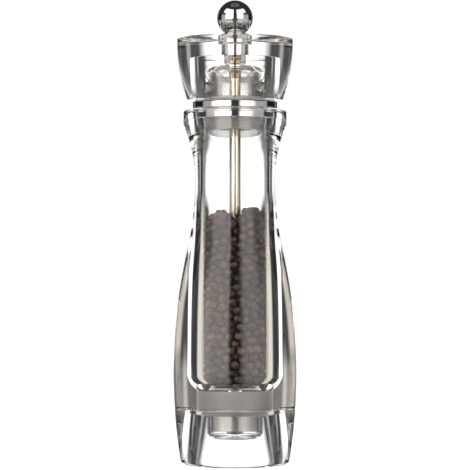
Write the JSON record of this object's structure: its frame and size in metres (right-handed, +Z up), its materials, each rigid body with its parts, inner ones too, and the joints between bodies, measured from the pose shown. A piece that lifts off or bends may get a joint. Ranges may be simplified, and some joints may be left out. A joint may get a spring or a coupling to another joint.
{
  "type": "pepper mill",
  "caption": "Waisted clear pepper mill: flared turning head, neck ring, ball knob that sets the grind, steel shaft and burr grinder.",
  "frame": {"origin": "centre of the flat foot, on the table", "axes": "+Z up along the shaft, +Y away from the viewer, +X to the viewer's right; the plan is round"},
  "size_m": [0.0616, 0.0616, 0.23],
  "materials": {
    "acrylic": "polished clear acrylic",
    "clear_insert": "moulded clear plastic",
    "grey_sleeve": "translucent grey plastic",
    "chrome": "polished chrome plate",
    "steel": "bright drawn steel",
    "burr_steel": "case-hardened steel, machined",
    "brass": "turned brass",
    "grey_plastic": "fine satin, moulded",
    "nylon": "natural nylon",
    "peppercorn": "wrinkled, dry"
  },
  "bodies": {
    "mill_body": {"body": "acrylic", "foot": "acrylic", "neck_ring": "chrome", "grinder_housing": "grey_plastic", "bridge": "grey_plastic", "fixed_burr": "burr_steel", "outlet_collar": "clear_insert", "pepper_fill": "peppercorn"},
    "thrust": {"thrust_washer": "steel", "spring": "steel"},
    "shaft": {"drive_shaft": "steel", "shaft_collar": "brass", "rotating_burr": "burr_steel", "burr_washer": "steel", "burr_nut": "steel"},
    "head_carrier": {"glide_washer": "nylon"},
    "head": {"head": "acrylic", "head_insert": "clear_insert", "neck_sleeve": "grey_sleeve", "drive_bush": "steel", "friction_washer": "nylon"},
    "knob": {"knob": "chrome", "knob_bush": "brass"}
  },
  "joints": [
    {"name": "head_lift", "type": "slide", "parent": "mill_body", "child": "head_carrier", "axis": [0, 0, 1], "range_m": [0, 0.048]},
    {"name": "head_turn", "type": "hinge", "parent": "head_carrier", "child": "head", "pos_m": [0, 0, 0.19], "axis": [0, 0, 1], "continuous": true},
    {"name": "knob_turn", "type": "hinge", "parent": "head", "child": "knob", "pos_m": [0, 0, 0.221], "axis": [0, 0, 1], "range_deg": [-94, 544]},
    {"name": "burr_lift", "type": "slide", "parent": "mill_body", "child": "thrust", "axis": [0, 0, 1], "range_m": [-0.0012, 0.0002], "deforming": ["spring"]},
    {"name": "shaft_turn", "type": "hinge", "parent": "thrust", "child": "shaft", "pos_m": [0, 0, 0.1], "axis": [0, 0, 1], "continuous": true}
  ],
  "couplings": [
    {"joint": "knob_turn", "follows": "burr_lift", "rad_per_m": -7854},
    {"joint": "shaft_turn", "follows": "head_turn", "ratio": 1}
  ]
}
